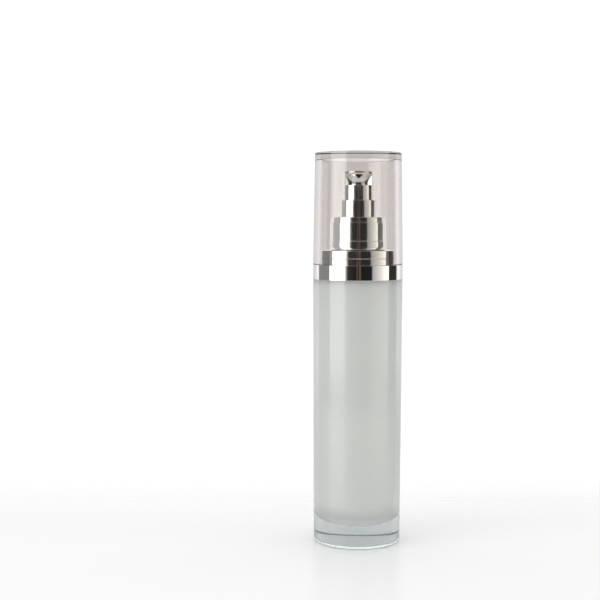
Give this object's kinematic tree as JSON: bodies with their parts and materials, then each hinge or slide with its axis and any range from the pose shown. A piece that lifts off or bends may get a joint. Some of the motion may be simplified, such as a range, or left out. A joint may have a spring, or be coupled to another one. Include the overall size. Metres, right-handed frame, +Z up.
{
  "type": "foundation bottle",
  "caption": "Round clear-walled foundation bottle with a pearl inner vessel, plated shoulder and spring-returned pump under a clear lift-off cap.",
  "frame": {"origin": "centre of the base, on the surface the bottle stands on", "axes": "+Z up along the bottle's axis; the nozzle faces -Y"},
  "size_m": [0.037, 0.037, 0.1607],
  "materials": {
    "clear_acrylic": "clear, polished, thick-walled acrylic with a faint cool tint",
    "pearl_plastic": "pearl-white satin polypropylene",
    "white_plastic": "plain white moulded polypropylene",
    "natural_plastic": "natural milky polypropylene",
    "piston_plastic": "soft polyethylene",
    "foam_gasket": "soft foamed polyethylene",
    "plated_silver": "bright mirror plating on moulded plastic",
    "steel": "drawn stainless steel",
    "dark_plastic": "black acetal",
    "tinted_cap": "clear polished styrene with a faint warm tint"
  },
  "bodies": {
    "bottle": {"outer_bottle": "clear_acrylic", "inner_vessel": "pearl_plastic", "vessel_lid": "white_plastic", "neck_gasket": "foam_gasket", "closure_ring": "white_plastic", "shoulder_ring": "plated_silver", "outer_collar": "plated_silver", "pump_collar": "plated_silver", "pump_housing": "natural_plastic", "ball_cage": "natural_plastic", "return_spring": "steel", "housing_retainer": "natural_plastic"},
    "follower": {"follower_piston": "white_plastic"},
    "plunger": {"stem": "natural_plastic", "valve_rod": "natural_plastic"},
    "piston": {"pump_piston": "piston_plastic"},
    "actuator": {"actuator_core": "white_plastic", "actuator_shell": "plated_silver", "nozzle_insert": "dark_plastic"},
    "ball": {"inlet_ball": "steel"},
    "cap": {"overcap": "tinted_cap"}
  },
  "joints": [
    {"name": "cap_lift", "type": "slide", "parent": "bottle", "child": "cap", "axis": [0, 0, 1], "range_m": [0, 0.05]},
    {"name": "pump_press", "type": "slide", "parent": "bottle", "child": "plunger", "axis": [0, 0, -1], "range_m": [0, 0.0055], "stiffness_N_per_m": 350, "springref_m": -0.003, "deforming": ["return_spring"]},
    {"name": "actuator_turn", "type": "hinge", "parent": "plunger", "child": "actuator", "pos_m": [0, 0, 0.137], "axis": [0, 0, 1], "continuous": true},
    {"name": "piston_slip", "type": "slide", "parent": "plunger", "child": "piston", "axis": [0, 0, 1], "range_m": [0, 0.0008]},
    {"name": "ball_rise", "type": "slide", "parent": "bottle", "child": "ball", "axis": [0, 0, 1], "range_m": [0, 0.0008]},
    {"name": "follower_rise", "type": "slide", "parent": "bottle", "child": "follower", "axis": [0, 0, 1], "range_m": [0, 0.0714]}
  ]
}
